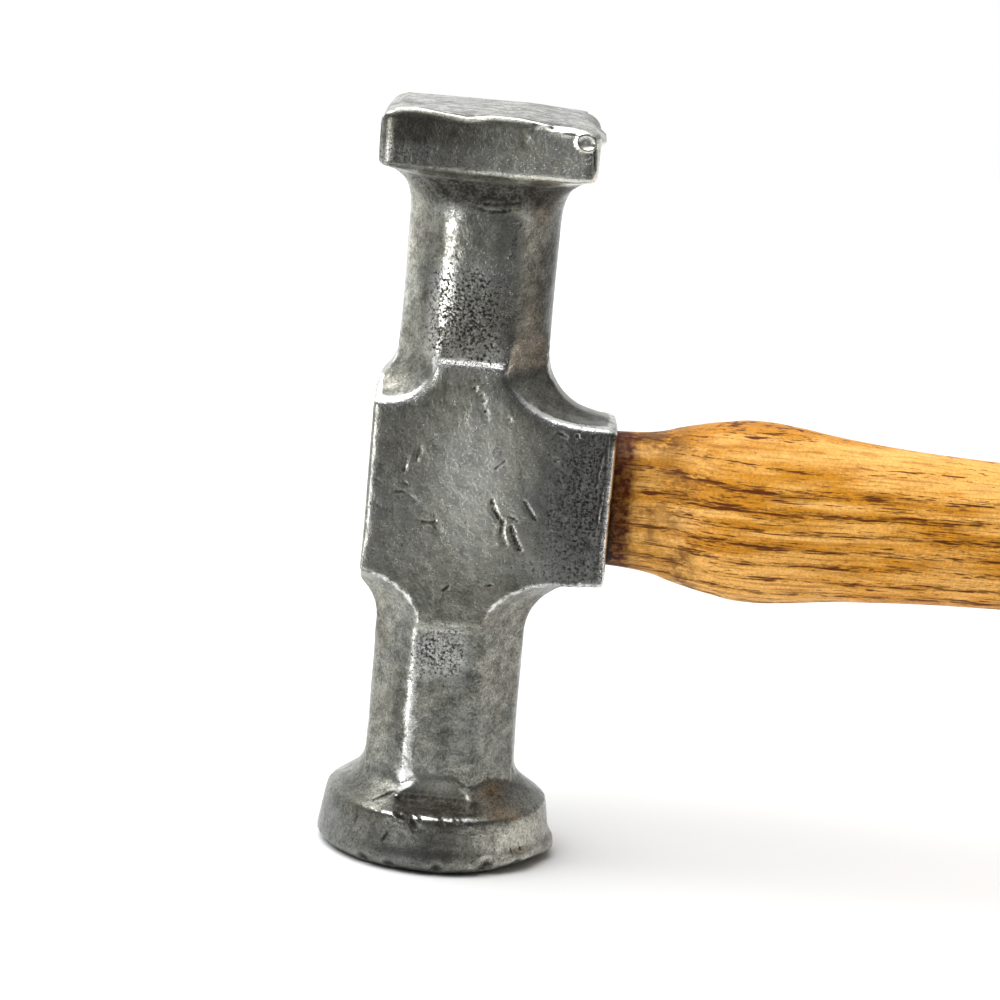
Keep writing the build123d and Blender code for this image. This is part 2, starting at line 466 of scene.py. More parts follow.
# Cuts in the rest of the near side: points, then width and depth, mm
bodyMarks = (
    (((-8.9, -12.1, 9.3), (-6.1, -11.6, 10.7)), 0.28, 0.22),
    (((-5.2, -12.4, 10.0), (-3.8, -12.7, 9.5), (-2.4, -12.9, 9.6)), 0.32, 0.30),
    (((-8.0, -12.9, 8.9), (-6.6, -13.2, 8.8)), 0.28, 0.22),
    (((-5.6, -15.2, 8.8), (-4.7, -15.7, 8.0), (-3.7, -16.1, 7.8)), 0.46, 0.55),
    (((-3.7, -15.3, 8.8), (-3.0, -16.0, 7.9), (-2.4, -16.4, 7.0)), 0.46, 0.60),
    (((-2.4, -15.4, 8.7), (-1.7, -16.1, 8.1)), 0.36, 0.45),
    (((1.2, -15.9, 8.6), (1.7, -16.4, 7.5)), 0.30, 0.32),
    (((2.6, -14.9, 8.7), (3.5, -15.9, 8.2)), 0.30, 0.32),
    (((3.6, -14.9, 8.7), (4.4, -15.8, 8.1)), 0.28, 0.28),
    (((9.6, -13.0, 8.9), (10.9, -12.4, 8.6)), 0.34, 0.32),
    (((-10.9, -12.4, 6.6), (-11.3, -12.2, 5.2)), 0.26, 0.16),
    (((-6.4, -15.6, 5.4), (-7.0, -15.4, 4.2)), 0.26, 0.14),
    (((12.9, -11.5, 5.6), (13.3, -11.1, 3.4)), 0.34, 0.25),
    (((11.7, -12.7, 4.9), (12.0, -12.4, 3.2)), 0.30, 0.20),
    (((14.6, -15.2, 108.0), (14.9, -15.0, 104.6)), 0.36, 0.22),
    (((-2.6, -11.2, 98.5), (0.6, -11.1, 98.0), (4.2, -11.2, 98.5)), 0.32, 0.15),
    (((-1.6, -11.05, 97.4), (1.0, -11.0, 96.9), (3.6, -11.05, 97.3)), 0.28, 0.12),
    (((-0.8, -11.3, 99.2), (1.6, -11.3, 99.0), (4.0, -11.4, 99.4)), 0.28, 0.12),
    (((-10.2, -14.2, 111.3), (-7.8, -14.4, 111.1), (-6.2, -14.7, 111.0)), 0.30, 0.16),
    (((-5.4, -13.9, 110.7), (-3.4, -14.5, 110.5)), 0.34, 0.20),
    (((3.2, -13.9, 111.0), (5.8, -14.4, 110.8), (8.4, -14.6, 110.4)), 0.34, 0.22),
    (((7.0, -13.2, 110.7), (9.4, -13.6, 110.4)), 0.28, 0.15),
    (((-15.4, -14.0, 108.0), (-15.4, -13.6, 104.0)), 0.40, 0.20),
)

# Dents: place, then radius and depth, mm
headDents = (
    ((0.7, -11.5, 71.5), 0.55, 0.22),
    ((1.8, -11.5, 70.6), 0.50, 0.20),
    ((2.2, -11.5, 69.9), 0.45, 0.18),
    ((2.0, -11.5, 69.1), 0.45, 0.20),
    ((2.5, -11.5, 68.3), 0.50, 0.22),
    ((2.8, -11.5, 67.4), 0.45, 0.18),
    ((6.0, -11.5, 67.4), 0.55, 0.18),
    ((-3.0, -11.5, 71.8), 0.40, 0.14),
    ((13.2, -11.5, 62.0), 0.70, 0.12),
    ((15.9, -11.5, 65.9), 0.45, 0.30),
    ((-4.2, -15.8, 8.3), 0.7, 0.35),
    ((8.4, -15.4, 110.2), 0.6, 0.25),
    ((-2.9, -14.0, 110.9), 0.8, 0.20),
    ((-7.4, -15.5, 102.8), 0.4, 0.20),
    ((0.6, -15.5, 102.7), 0.4, 0.18),
    ((5.0, -15.5, 108.2), 0.5, 0.15),
    ((1.2, -17.3, 1.2), 1.2, 0.45),
    ((8.6, -15.2, 1.4), 1.8, 0.60),
    ((12.8, -11.6, 1.2), 1.4, 0.50),
    ((-9.8, -14.2, 0.9), 1.3, 0.40),
    ((-5.8, -16.3, 0.8), 1.2, 0.35),
)


def headMarks():
    # every cut as points in space, width and depth
    for line, width, depth in cheekMarks:
        yield np.array([(x, headShape["cheek"], z) for x, z in line]), width, depth
    for line, width, depth in bodyMarks:
        yield np.array(line), width, depth


def gapToLine(points, line):
    # distance to a bent line, and how far along it the nearest place is, 0 to 1
    gap = np.full(len(points), np.inf)
    along = np.zeros(len(points))
    spans = len(line) - 1
    for index in range(spans):
        start, run = line[index], line[index + 1] - line[index]
        part = np.clip((points - start) @ run / (run @ run), 0, 1)
        here = np.linalg.norm(points - (start + part[:, None] * run), axis=1)
        along = np.where(here < gap, (index + part) / spans, along)
        gap = np.minimum(gap, here)
    return gap, along


def pressMark(points, normals, line, width, depth):
    # a cut that is deepest in the middle, with a burr raised on both sides
    gap, along = gapToLine(points, line)
    taper = 0.45 + 0.55 * np.sin(np.pi * np.clip(along, 0.02, 0.98))
    groove = 1 - ease(gap, 0.1 * width, width)
    burr = span(gap, width * 0.8, width * 1.3, width * 1.3, width * 2.4)
    return points + normals * (taper * depth * (0.08 * burr - groove))[:, None]


def pressDent(points, normals, place, radius, depth):
    # a bowl with a faint brim
    gap = np.linalg.norm(points - np.array(place), axis=1)
    hollow = 1 - ease(gap, 0, radius)
    brim = span(gap, radius * 0.8, radius * 1.15, radius * 1.15, radius * 1.7)
    return points + normals * (0.05 * depth * brim - depth * hollow)[:, None]


def nearMarks(points):
    x, y, z = points.T
    curlX, curlZ = headWear["curl"]
    close = (np.hypot(x - curlX, z - curlZ) < 4) & (y < -13)
    for line, width, _ in headMarks():
        close |= gapToLine(points, line)[0] < 2.2 * width
    for place, radius, _ in headDents:
        close |= np.linalg.norm(points - np.array(place), axis=1) < 1.6 * radius
    return close


def roundOff(points, centre, radius, facing):
    # rounds a long upper edge of the square poll; facing is 1 on the right and -1 on the left
    overX = (points[:, 0] - centre[0]) * facing
    overZ = points[:, 2] - centre[1]
    reach = np.hypot(overX, overZ)
    outside = (overX > 0) & (overZ > 0) & (reach > radius)
    shrink = np.where(outside, radius / np.maximum(reach, 1e-9), 1)
    points[:, 0] = np.where(outside, centre[0] + overX * shrink * facing, points[:, 0])
    points[:, 2] = np.where(outside, centre[1] + overZ * shrink, points[:, 2])


def roundByRubbing(points, edges):
    # use rubs the necks' eight corners and the eye block's edges round
    count = neighbourCount(edges, len(points))
    x, y, z = points.T
    crisp = 0.9 * ease(-x, 2, 4) * ease(-y, 8.5, 9.5)  # the lower neck's near left corner stays so
    besideCheeks = ease(np.abs(y), 8.5, 10)
    for name, share in (("upperNeck", 1), ("lowerNeck", 1 - crisp), ("eyeBlock", besideCheeks)):
        heights, rounds = headShape[name]
        amount = 0.5 * (span(z, *heights) * share)[:, None]
        for _ in range(rounds):
            points = points + amount * (neighbourMean(points, edges, count) - points)
    return points


def markHead(points, normals):
    # presses the cuts and dents in, and gives back how deep in a cut each point lies, 0 to 1
    inCut = np.zeros(len(points))
    for line, width, depth in headMarks():
        inCut = np.maximum(inCut, 1 - ease(gapToLine(points, line)[0], 0.55 * width, 1.15 * width))
        points = pressMark(points, normals, line, width, depth)
    for place, radius, depth in headDents:
        fromMiddle = np.linalg.norm(points - np.array(place), axis=1) / radius
        inCut = np.maximum(inCut, 0.8 - 0.8 * ease(fromMiddle, 0.4, 0.95))
        points = pressDent(points, normals, place, radius, depth)
    return points, inCut


def wearSquareFace(points, x, y, z):
    # its near edge is wavy, its side edges are round, and it falls away to the right and behind
    line = np.array(headWear["edgeLine"])
    points[:, 2] += np.interp(x, line[:, 0], line[:, 1]) * ease(-y, 9, 15) * ease(z, 105.5, 110)
    for centre, radius, facing in headWear["sideEdges"]:
        roundOff(points, centre, radius, facing)
    fall = headWear["fallRight"] * ease(x, 4, 13) + headWear["fallAtCorner"] * ease(x, 11.5, 16)
    fall = fall * ease(y, -14, -6) + headWear["fallBehind"] * ease(y, 0, 14) * (1 - 0.6 * ease(x, 4, 14))
    points[:, 2] -= fall * ease(z, 105, 110)


def driveBurrs(points, x, y, z):
    # blows have driven a lip over the right edge, and left a curl and a flake beside it
    lip = span(z, 107.6, 108.1, 108.6, 110.6) * ease(x, 13.0, 15.4) * span(y, -13, -6, 2, 10)
    points[:, 0] += headWear["lip"] * lip
    curlX, curlZ = headWear["curl"]
    fromCurl = np.hypot(x - curlX, z - curlZ)
    onFront = ease(-y, 14.6, 15.3)
    curl = onFront * bell(fromCurl, headWear["curlRadius"], 0.24)
    inside = onFront * (1 - ease(fromCurl, 0.5, 1.3))
    points[:, 1] -= 0.30 * curl - 0.22 * inside
    flake = ease(-y, 14.0, 15.2) * bell(x, 10.6, 1.6) * bell(z, 109.8, 0.4)
    points[:, 2] += 0.30 * flake
    points[:, 1] -= 0.40 * flake


def shiftLedges(points, x, y, z):
    # over the handle the eye block's far ledge is lower; away from it the near one rises at its end
    far = ease(y, -6, 10) * ease(x, 7, 17) * span(z, 60, 65, 72, 78)
    near = ease(-y, 2, 8) * ease(-x, 8, 16) * span(z, 56, 61, 70, 76)
    points[:, 2] += headWear["nearLedgeRise"] * near - headWear["farLedgeDrop"] * far


def cutFoot(points, x, y, z):
    # the lower neck's near facet is cut straight down to the round poll's shoulder
    cut = (1 - ease(np.abs(x + 0.3), 4.7, 5.5)) * span(z, 8.7, 10.2, 15, 17)
    floorY = -11.0 - 0.28 * np.clip(13.5 - z, 0, 5)
    points[:, 1] += np.where(y < floorY, cut * (floorY - y), 0)


def mushroomRim(points, x, y, z):
    # the round face's edge has spread under blows, and lifts on its near right
    around = np.degrees(np.arctan2(y, x))
    out = np.hypot(x, y)
    swell = span(z, 0.2, 1.2, 2.9, 3.8) * ease(out, 15.5, 16.8)
    amount = sum(most * bell(around, middle, reach) for middle, reach, most in headWear["mushroom"])
    push = swell * amount / np.maximum(out, 1)
    points[:, 0] += push * x
    points[:, 1] += push * y
    lift = ease(out, 12, 16.5) * (1 - ease(z, 1.0, 3.0)) * bell(around, -35, 22)
    points[:, 2] += headWear["rimLift"] * lift


def wearHead(points):
    # all in mm: the shape that use has given the forging
    x, y, z = points.T.copy()
    for wearOne in (wearSquareFace, driveBurrs, shiftLedges, cutFoot, mushroomRim):
        wearOne(points, x, y, z)
    return points


forgeTexture = {
    "Unevenness": 0.00012,
    "Hammer marks": 0.00003,
    "Dents per square metre": 30000.0,
    "Smallest dent": 0.35,
    "Largest dent": 1.3,
    "Dent radius": 0.0006,
    "Dent depth": 0.00009,
    "Seed": 11,
}


def makeForgeTree():
    tree, given = newGeometryTree("forgedSkin", forgeTexture)
    place = addNode(tree, "GeometryNodeInputPosition").outputs[0]
    normal = addNode(tree, "GeometryNodeInputNormal").outputs[0]
    broad = calc(tree, "SUBTRACT", noiseOf(tree, place, 130, detail=2), 0.5)
    close = calc(tree, "SUBTRACT", noiseOf(tree, place, 600, detail=2), 0.5)
    swell = calc(tree, "ADD", calc(tree, "MULTIPLY", broad, given["Unevenness"]),
                 calc(tree, "MULTIPLY", close, given["Hammer marks"]))
    swell = calc(tree, "MULTIPLY", swell, 2.0)

    scatter = addNode(tree, "GeometryNodeDistributePointsOnFaces")
    feed(tree, scatter.inputs["Mesh"], given["Geometry"])
    feed(tree, scatter.inputs["Density"], given["Dents per square metre"])
    feed(tree, scatter.inputs["Seed"], given["Seed"])
    size = addNode(tree, "FunctionNodeRandomValue", data_type="FLOAT")
    feed(tree, size.inputs[2], given["Smallest dent"])
    feed(tree, size.inputs[3], given["Largest dent"])
    feed(tree, size.inputs["Seed"], given["Seed"])
    kept = addNode(tree, "GeometryNodeStoreNamedAttribute", data_type="FLOAT", domain="POINT")
    feed(tree, kept.inputs["Geometry"], scatter.outputs["Points"])
    kept.inputs["Name"].default_value = "dentSize"
    feed(tree, kept.inputs["Value"], size.outputs[1])
    nearest = addNode(tree, "GeometryNodeSampleNearest")
    feed(tree, nearest.inputs["Geometry"], kept.outputs[0])

    def atNearestDent(kind, value):
        sample = addNode(tree, "GeometryNodeSampleIndex", data_type=kind, domain="POINT")
        feed(tree, sample.inputs["Geometry"], kept.outputs[0])
        feed(tree, sample.inputs["Value"], value)
        feed(tree, sample.inputs["Index"], nearest.outputs["Index"])
        return sample.outputs["Value"]

    reader = addNode(tree, "GeometryNodeInputNamedAttribute", data_type="FLOAT")
    reader.inputs["Name"].default_value = "dentSize"
    dentSize = atNearestDent("FLOAT", reader.outputs["Attribute"])
    dentPlace = atNearestDent("FLOAT_VECTOR", place)
    gap = calcVector(tree, "DISTANCE", place, dentPlace, result="Value")
    reach = calc(tree, "MULTIPLY", given["Dent radius"], dentSize)
    hollow = ramp(tree, calc(tree, "DIVIDE", gap, reach), 0.2, 1.0, 1.0, 0.0)
    sink = calc(tree, "MULTIPLY", calc(tree, "MULTIPLY", hollow, dentSize), given["Dent depth"])
    moved = addNode(tree, "GeometryNodeSetPosition")
    feed(tree, moved.inputs["Geometry"], given["Geometry"])
    feed(tree, moved.inputs["Offset"], scaled(tree, normal, calc(tree, "SUBTRACT", swell, sink)))
    closeTree(tree, moved.outputs[0], given["Material"])
    return tree


# Places where the skin of the near side is darker or lighter, by patina and by painted highlights and
# shade: x and z, reach in both, amount
patinaAndLightPatches = (
    ((2.0, 60.0), (7.0, 13.0), 0.58),
    ((18.0, 57.0), (5.0, 12.0), -0.74),
    ((-11.5, 57.0), (4.0, 14.0), -0.06),
    ((0.0, 41.0), (7.0, 4.0), -0.02),
    # from here to (11.3, 88.0): painted highlights and shade on the upper neck's facets
    ((1.5, 92.0), (5.0, 5.0), 0.20),
    ((5.0, 92.0), (1.5, 6.0), 0.42),
    ((-11.5, 88.0), (2.5, 12.0), 0.24),
    ((-7.3, 86.0), (1.6, 11.0), -0.20),
    ((11.3, 88.0), (3.4, 13.0), -0.42),
    # from here to (11.0, 24.0): painted shade on the lower neck's facets, darkest beside its left ridge
    ((-9.0, 24.0), (3.5, 12.0), -0.03),
    ((-6.4, 24.0), (1.3, 12.0), -0.22),
    ((0.0, 20.0), (5.0, 10.0), -0.08),
    ((11.0, 24.0), (3.5, 12.0), -0.10),
    # painted light in the scoop at the lower neck's foot
    ((0.5, 12.1), (4.5, 1.2), 0.44),
    ((-14.0, 10.5), (5.0, 2.5), -0.22),
    ((-14.0, 5.0), (6.0, 5.0), -0.16),
    ((-3.0, 4.0), (7.5, 6.0), -0.31),
    ((11.0, 5.0), (5.0, 5.0), 0.34),
    ((12.0, 10.5), (6.0, 2.5), -0.20),
)

# How bright each rubbed part of the near side is, with its painted highlight
rubbedAndHighlighted = {
    "neckShelf": 0.8,
    "lowerArcs": 0.15,
    "squareFace": 0.30,
    "roundShoulder": 0.5,
    "squareFoot": 0.35,
}

# Painted highlight streaks up the near side, the last on the cheek's rubbed right edge: x and reach,
# heights, how near from nought to full, brightness
highlightStreaks = (
    (-4.6, 1.3, (11, 13, 26, 35), (8.5, 10), 0.45),
    (4.7, 1.2, (84, 90, 95, 98), (8, 9.5), 0.4125),
    (-4.2, 2.4, (82, 90, 96, 99), (7, 9), 0.32),
    (21.2, 0.45, (44, 48, 64, 66), (9.5, 11), 0.4),
)

# Painted highlights at the lower neck's foot: x and z, reach in both, brightness
highlightSpots = (
    ((-4.2, 12.6), (1.3, 1.1), 0.75),
    ((4.8, 12.2), (0.8, 1.4), 0.375),
)


def patinaAndLightOf(points):
    # how light the skin is: 0.5 where it is as usual
    x, y, z = points.T
    tone = np.zeros(len(points))
    for (atX, atZ), (reachX, reachZ), amount in patinaAndLightPatches:
        tone += amount * bell(x, atX, reachX) * bell(z, atZ, reachZ)
    # the square poll is dark on the left and light on the right
    square = span(z, 101.5, 102.5, 109.5, 110.5)
    tone = tone * (1 - square) + square * (-0.22 + 0.72 * ease(x, -13, 13))
    return 0.5 + tone * ease(-y, -3, 5)


def edgeWearAndHighlights(points, normals, edges):
    # bare bright metal on what stands out, with painted highlights on what faces up or outwards
    x, y, z = points.T
    bend = bending(points, normals, edges)
    outward = spread(bend, edges, 2)
    broad = spread(outward, edges, 5)
    # upward faces get more: a painted highlight from the light above
    facing = 0.30 + 0.70 * ease(normals[:, 2], 0.0, 0.40)
    sides = 0.26 * ease(np.abs(normals[:, 0]), 0.3, 0.8)
    onBlock = span(z, 36, 40, 77, 80)
    onArc = onBlock * ease(z, 63, 65)
    spared = 0.5 * ease(x, 11, 17) + 0.55 * ease(-x, 10.5, 14) + 0.45 * ease(-x, 14.5, 16)
    wearAndHighlight = (onBlock - onArc) * ease(outward, 0.05, 0.42)
    wearAndHighlight += onArc * ease(broad, 0.03, 0.22) * (1 - spared)
    wearAndHighlight += (1 - onBlock) * ease(bend, 0.35, 1.3)
    wearAndHighlight *= np.clip(np.maximum(facing, sides), 0, 1)

    # some edges stay duller: the round poll's, the square poll's right and lower ones, the block's left
    rimAngle = np.abs(x) / 16
    wearAndHighlight *= 1 - 0.65 * (1 - ease(z, 4, 6))
    wearAndHighlight *= 1 - span(z, 6, 7, 10, 12) * (0.15 + 0.6 * ease(rimAngle, 0.3, 0.8))
    wearAndHighlight *= 1 - 0.6 * span(z, 103, 105, 110.3, 110.7) * ease(x, 11.0, 12.0)
    wearAndHighlight *= 1 - 0.8 * span(z, 100.5, 101.2, 104.0, 104.8)
    wearAndHighlight *= 1 - 0.85 * ease(-x, 11.5, 13) * onBlock * (1 - ease(z, 62, 66))

    # and some places are rubbed and given painted highlights, brighter than their shape alone would make
    # them
    out = np.hypot(x, y)
    shelf = bell(z, 74.9, 0.55) * (1 - ease(np.abs(x), 5, 6.5)) * ease(-y, 9.5, 10.8)
    arcs = ease(outward, 0.05, 0.2) * span(z, 34, 37, 45, 49) * ease(-y, 9, 10.5)
    crown = ease(z, 108.9, 109.6) * ease(normals[:, 2], 0.6, 0.9)
    shoulder = bell(z, 8.4, 0.33) * ease(out, 15.2, 15.9) * (1 - ease(rimAngle, 0.35, 0.7)) * ease(-y, 6, 9)
    foot = bell(z, 101.7, 0.25) * ease(-y, 13.5, 14.5)
    wearAndHighlight += rubbedAndHighlighted["neckShelf"] * shelf + rubbedAndHighlighted["lowerArcs"] * arcs + rubbedAndHighlighted["squareFace"] * crown
    wearAndHighlight += rubbedAndHighlighted["roundShoulder"] * shoulder + rubbedAndHighlighted["squareFoot"] * foot
    for middle, reach, heights, (start, full), amount in highlightStreaks:
        wearAndHighlight += amount * bell(x, middle, reach) * span(z, *heights) * ease(-y, start, full)
    for (atX, atZ), (reachX, reachZ), amount in highlightSpots:
        wearAndHighlight += amount * bell(x, atX, reachX) * bell(z, atZ, reachZ) * ease(-y, 8.5, 10)
    return np.clip(wearAndHighlight, 0, 1)


def markWearAndLight(mesh, wearAndHighlight, inCut):
    # wear with painted highlights, dirt with painted shade, rusted patches, and patina with painted light
    # and shade, kept as attributes of the skin
    points, edges, normals = pointsOf(mesh) / mm, edgesOf(mesh), normalsOf(mesh)
    x, y, z = points.T
    bend = bending(points, normals, edges)
    fine, wide = spread(bend, edges, 1), spread(bend, edges, 12)
    cheekHeight = ease(-np.abs(z - headShape["eyeHeight"]), -16, -10)
    burrs = 0.40 * ease(fine, 0.4, 1.2) * (1 - 0.5 * ease(-z, -9.5, -8.0))
    burrs *= 1 - 0.6 * ease(-y, 10.8, 11.3) * cheekHeight
    storeFloat(mesh, "edgeWearAndHighlights", np.maximum(wearAndHighlight, burrs) * (1 - inCut))

    # dirt in the hollows and cuts, with less of it in the step at the lower neck's foot; below that step
    # and under the flange the dark is painted shade
    hollow = 0.8 * ease(-fine, 0.25, 1.0) + 0.45 * ease(-wide, 0.07, 0.28)
    step = span(z, 10.7, 11.2, 13.0, 13.6) * ease(-y, 9, 10) * (1 - ease(np.abs(x), 4.5, 6))
    # painted shade under the square poll's flange
    under = span(z, 96.0, 99.0, 101.2, 101.6) * ease(-y, 6, 10) * (1 - ease(np.abs(x - 1), 9, 16))
    # painted shade at the lower neck's foot, below its step
    foot = span(z, 8.5, 8.9, 10.2, 10.9) * ease(-y, 10.5, 11.5) * (1 - ease(np.abs(x - 0.5), 5, 8.5))
    dirtAndShade = hollow * (1 - 0.9 * step) + 0.95 * under + foot + 1.1 * inCut
    storeFloat(mesh, "dirtAndShade", np.clip(dirtAndShade, 0, 1))

    # rusted patches on both necks, and thinner pits on the square poll, the round rim and the cheek
    upper = bell(x, -0.6, 6.6, 4) * bell(z, 81.6, 8.8, 3) * ease(-y, 7.0, 9.5)
    lower = 0.75 * bell(x, -1.0, 4.6, 4) * bell(z, 32.0, 4.6, 3) * ease(-y, 7.0, 9.5)
    flange = 0.45 * span(z, 102.0, 103.5, 105.5, 108)
    rim = 0.30 * ease(-z, -8.0, -6.0)
    cheek = (0.35 + 0.13 * ease(x, 6, 15)) * ease(-y, 10.5, 11.3) * cheekHeight
    far = 0.8 * bell(x, 2, 6) * bell(z, 27, 7) * ease(y, 8.5, 10.5)
    storeFloat(mesh, "pitting", np.clip(upper + lower + flange + rim + cheek + far, 0, 1))
    storeFloat(mesh, "patinaAndLight", patinaAndLightOf(points))


def makeHead():
    head = cadCopy("head", "hammerHead")
    remesh = head.modifiers.new("even skin", "REMESH")
    remesh.mode, remesh.voxel_size = "VOXEL", headShape["voxel"] * mm
    mesh = settle(head)
    points = relax(pointsOf(mesh) / mm, edgesOf(mesh), headShape["softening"])
    points = roundByRubbing(points, edgesOf(mesh))
    writePoints(mesh, points * mm)
    sharp = np.abs(bending(points, normalsOf(mesh), edgesOf(mesh))) > headShape["sharpBend"]
    splitEdges(mesh, sharp | nearMarks(points))
    writePoints(mesh, relax(pointsOf(mesh) / mm, edgesOf(mesh), 1) * mm)
    points = wearHead(pointsOf(mesh) / mm)
    writePoints(mesh, points * mm)
    wearAndHighlight = edgeWearAndHighlights(points, normalsOf(mesh), edgesOf(mesh))
    points, inCut = markHead(points, normalsOf(mesh))
    writePoints(mesh, points * mm)
    mesh = runTree(head, makeForgeTree(), forgeTexture, forgedSteel)
    markWearAndLight(mesh, wearAndHighlight, inCut)
    shadeSmooth(mesh)
    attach(head, "root")
    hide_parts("head")
    print("head:", len(mesh.polygons), "faces")


makeHead()


# Hickory
hickoryLook = {
    "honey": (0.90, 0.48, 0.125, 1),
    "amber": (0.63, 0.262, 0.018, 1),
    "tan": (0.36, 0.140, 0.020, 1),
    "pore": (0.085, 0.016, 0.002, 1),
    "stain": (0.080, 0.008, 0.001, 1),
    "soilAndShade": (0.13, 0.050, 0.012, 1),
    "gapShadow": (0.012, 0.009, 0.008, 1),
    "ringSpacing": 0.0026,
    "pith": (0, 0.0212, -0.0318),
    "poreLimit": 0.623,
    # rows of pores: how fine along and across the grain, then how rare and how dark
    "pores": (((95, 600, 2300), 0.040, 0.95), ((210, 800, 3000), 0.005, 0.95),
              ((420, 1000, 3600), 0.01, 0.8), ((800, 1500, 4200), 0.01, 0.5)),
    "stainEnds": (0.0238, 0.0256),  # along X, m, where the stain beside the head fades out
    "gapEnds": (0.0222, 0.0229),
}


def makeHickory():
    made, tree, shader, coords = newMaterial("oiledHickory")
    # the grain runs along X and wanders a little
    wander = noiseOf(tree, stretch(tree, coords, (14, 30, 30)), 1, detail=2, output=1)
    wander = calcVector(tree, "SUBTRACT", wander, (0.5, 0.5, 0.5))
    grain = calcVector(tree, "ADD", coords, stretch(tree, wander, (0, 0.004, 0.004)))
    fromPith = calcVector(tree, "SUBTRACT", grain, hickoryLook["pith"])
    fromPith = stretch(tree, fromPith, (0.015, 1, 1))
    ringPlace = calcVector(tree, "LENGTH", fromPith, result="Value")
    ringPart = calc(tree, "FRACT", calc(tree, "DIVIDE", ringPlace, hickoryLook["ringSpacing"]))
    early = calc(tree, "MULTIPLY", ramp(tree, ringPart, 0.0, 0.15), ramp(tree, ringPart, 0.25, 0.60, 1, 0))

    fibre = noiseOf(tree, stretch(tree, grain, (90, 900, 2600)), 1, detail=4, roughness=0.65)
    clouds = noiseOf(tree, stretch(tree, grain, (40, 90, 190)), 1, detail=4, roughness=0.6)
    streaks = noiseOf(tree, stretch(tree, grain, (30, 300, 700)), 1, detail=3, roughness=0.6)
    veins = calc(tree, "ADD", calc(tree, "MULTIPLY", clouds, 0.6), calc(tree, "MULTIPLY", streaks, 0.4))
    tone = mixColor(tree, ramp(tree, veins, 0.42, 0.56), hickoryLook["honey"], hickoryLook["amber"])
    tone = mixColor(tree, calc(tree, "MULTIPLY", early, 0.28), tone, hickoryLook["amber"])
    tone = mixColor(tree, ramp(tree, fibre, 0.47, 0.66, 0, 0.6), tone, hickoryLook["tan"])
    speckle = noiseOf(tree, coords, 2400, detail=3, roughness=0.7)
    tone = scaled(tree, tone, ramp(tree, speckle, 0.35, 0.65, 0.80, 1.16, smooth=False))

    # pores: dark dashes in rows, thickest in the early wood of each ring
    limit = calc(tree, "SUBTRACT", hickoryLook["poreLimit"], calc(tree, "MULTIPLY", early, 0.100))
    limit = calc(tree, "SUBTRACT", limit, ramp(tree, clouds, 0.40, 0.62, -0.03, 0.04))
    parts = addNode(tree, "ShaderNodeSeparateXYZ")
    feed(tree, parts.inputs[0], coords)
    limit = calc(tree, "ADD", limit, ramp(tree, parts.outputs["Z"], 0.058, 0.066, 0, 0.06))
    dashes = 0
    for fineness, rarity, darkness in hickoryLook["pores"]:
        found = noiseOf(tree, stretch(tree, grain, fineness), 1, detail=2, roughness=0.55)
        found = calc(tree, "SUBTRACT", found, calc(tree, "ADD", limit, rarity))
        dashes = calc(tree, "MAXIMUM", dashes, ramp(tree, found, -0.01, 0.085, 0, darkness))
    tone = mixColor(tree, dashes, tone, hickoryLook["pore"])

    # hands leave the shoulders grey and brown; the same colour paints shadow where the lower shoulder turns
    # and shade along the underside
    smear = ramp(tree, noiseOf(tree, coords, 420, detail=4, roughness=0.65), 0.34, 0.58)
    soilAndShade = calc(tree, "MULTIPLY", attributeOf(tree, "soilAndShade"), smear)
    tone = mixColor(tree, calc(tree, "MULTIPLY", soilAndShade, 0.85), tone, hickoryLook["soilAndShade"])

    # a dark band where oil and rust have soaked in beside the head, and painted shadow in the gap at its
    # rim, deepest low down
    ragged = noiseOf(tree, coords, 900, detail=4, roughness=0.7)
    shift = calc(tree, "MULTIPLY", calc(tree, "SUBTRACT", ragged, 0.5), 0.0030)
    fromHead = calc(tree, "ADD", parts.outputs["X"], shift)
    band = ramp(tree, fromHead, *hickoryLook["stainEnds"], 1, 0)
    band = calc(tree, "MULTIPLY", band, ramp(tree, ragged, 0.38, 0.62, 1.0, 0.62))
    tone = mixColor(tree, band, tone, hickoryLook["stain"])
    rim = ramp(tree, fromHead, *hickoryLook["gapEnds"], 1, 0)
    rim = calc(tree, "MULTIPLY", rim, ramp(tree, parts.outputs["Z"], 0.046, 0.060, 0.9, 0.2))
    tone = mixColor(tree, rim, tone, hickoryLook["gapShadow"])
    feed(tree, shader.inputs["Base Color"], tone)
    rough = ramp(tree, fibre, 0.35, 0.7, 0.40, 0.52)
    rough = calc(tree, "ADD", rough, calc(tree, "MULTIPLY", dashes, 0.2))
    feed(tree, shader.inputs["Roughness"], rough)
    shader.inputs["Specular IOR Level"].default_value = 0.15
    height = calc(tree, "SUBTRACT", calc(tree, "MULTIPLY", fibre, 0.4), calc(tree, "MULTIPLY", dashes, 0.6))
    bumpInto(tree, shader, height, 0.5, 0.0002)
    return made


oiledHickory = makeHickory()

